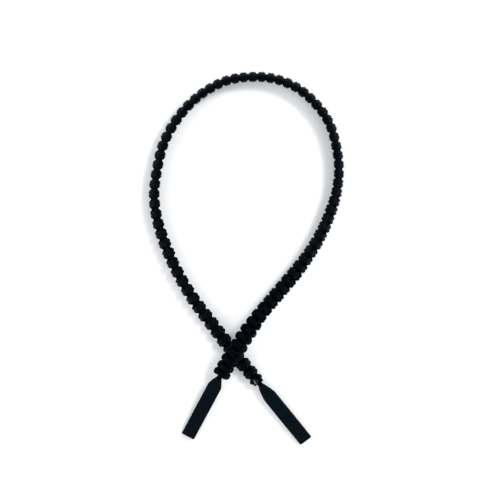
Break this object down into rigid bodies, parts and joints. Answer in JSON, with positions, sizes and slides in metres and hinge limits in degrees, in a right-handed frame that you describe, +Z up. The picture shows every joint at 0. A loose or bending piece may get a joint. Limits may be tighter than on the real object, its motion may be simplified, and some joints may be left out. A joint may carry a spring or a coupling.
{
  "type": "eyeglass retainer strap",
  "caption": "Knotted cord strap that holds spectacles round the neck, laid in a teardrop loop, with a soft flat sleeve on each end that slips over a temple tip.",
  "frame": {"origin": "middle of the bounding box, on the table the strap lies on", "axes": "+Y up the loop, away from the sleeves; +X to the right as seen from above; +Z up from the table"},
  "size_m": [0.1067, 0.2051, 0.0145],
  "materials": {
    "working_cord": "thin braided nylon, slightly glossy",
    "core_cord": "thin braided nylon, slightly glossy",
    "melted_tip": "glossy melted nylon",
    "sleeve": "matte soft tube",
    "glue": "cured adhesive"
  },
  "bodies": {
    "band": {"front_working_cord": "working_cord", "back_working_cord": "working_cord", "upper_core_cord": "core_cord", "lower_core_cord": "core_cord", "front_cord_tip": "melted_tip", "back_cord_tip": "melted_tip"},
    "left_neck": {"left_neck_cords": "core_cord"},
    "left_end": {"left_sleeve": "sleeve", "left_glue": "glue", "left_core_ends": "core_cord"},
    "right_neck": {"right_neck_cords": "core_cord"},
    "right_end": {"right_sleeve": "sleeve", "right_glue": "glue", "right_core_ends": "core_cord"}
  },
  "joints": [
    {"name": "left_swing", "type": "hinge", "parent": "band", "child": "left_neck", "pos_m": [-0.0151, -0.0648, 0.0056], "axis": [0, 0, 1], "range_deg": [-40, 40]},
    {"name": "left_lift", "type": "hinge", "parent": "left_neck", "child": "left_end", "pos_m": [-0.01604, -0.06657, 0.0056], "axis": [-0.8829, 0.4695, 0], "range_deg": [0, 60]},
    {"name": "right_swing", "type": "hinge", "parent": "band", "child": "right_neck", "pos_m": [0.0073, -0.0691, 0.0037], "axis": [0, 0, 1], "range_deg": [-40, 40]},
    {"name": "right_lift", "type": "hinge", "parent": "right_neck", "child": "right_end", "pos_m": [0.00856, -0.07065, 0.0037], "axis": [-0.7771, -0.6293, 0], "range_deg": [0, 60]}
  ]
}
